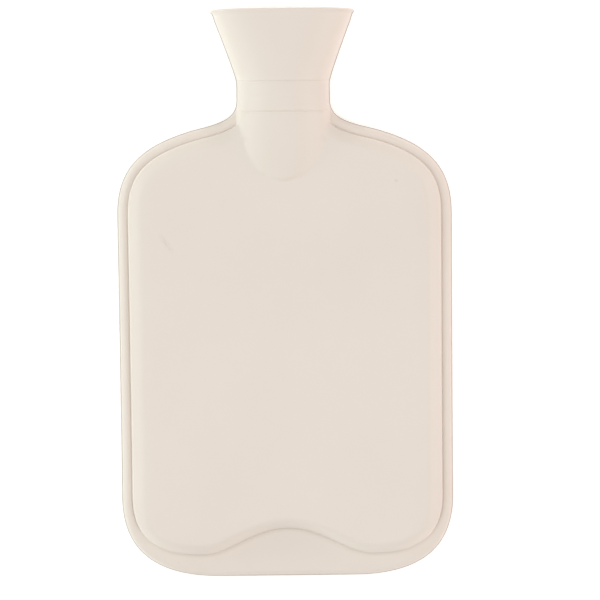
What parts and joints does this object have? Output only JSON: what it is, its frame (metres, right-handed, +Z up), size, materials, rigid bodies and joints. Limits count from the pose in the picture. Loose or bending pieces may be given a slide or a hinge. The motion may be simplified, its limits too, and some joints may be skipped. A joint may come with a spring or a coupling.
{
  "type": "hot water bottle",
  "caption": "Flat moulded rubber hot water bottle with beaded edge, wide oval mouth, neck insert and a screw stopper that turns and lifts out.",
  "frame": {"origin": "middle of the footprint, on the surface that the bottle lies on", "axes": "+Z up out of the bottle's face, +Y along the bottle towards its mouth, +X across it"},
  "size_m": [0.2002, 0.338, 0.044],
  "materials": {
    "moulded_rubber": "soft matte cream rubber",
    "insert_plastic": "satin",
    "seal_rubber": "matte",
    "stopper_plastic": "satin cream"
  },
  "bodies": {
    "bottle": {"bottle": "moulded_rubber", "neck_insert": "insert_plastic"},
    "washer": {"sealing_washer": "seal_rubber"},
    "stopper": {"stopper": "stopper_plastic"}
  },
  "joints": [
    {"name": "stopper_lift", "type": "slide", "parent": "bottle", "child": "washer", "axis": [0, 1, 0], "range_m": [0, 0.06]},
    {"name": "stopper_turn", "type": "hinge", "parent": "washer", "child": "stopper", "pos_m": [0, 0.1304, 0.022], "axis": [0, 1, 0], "range_deg": [0, 990]}
  ]
}
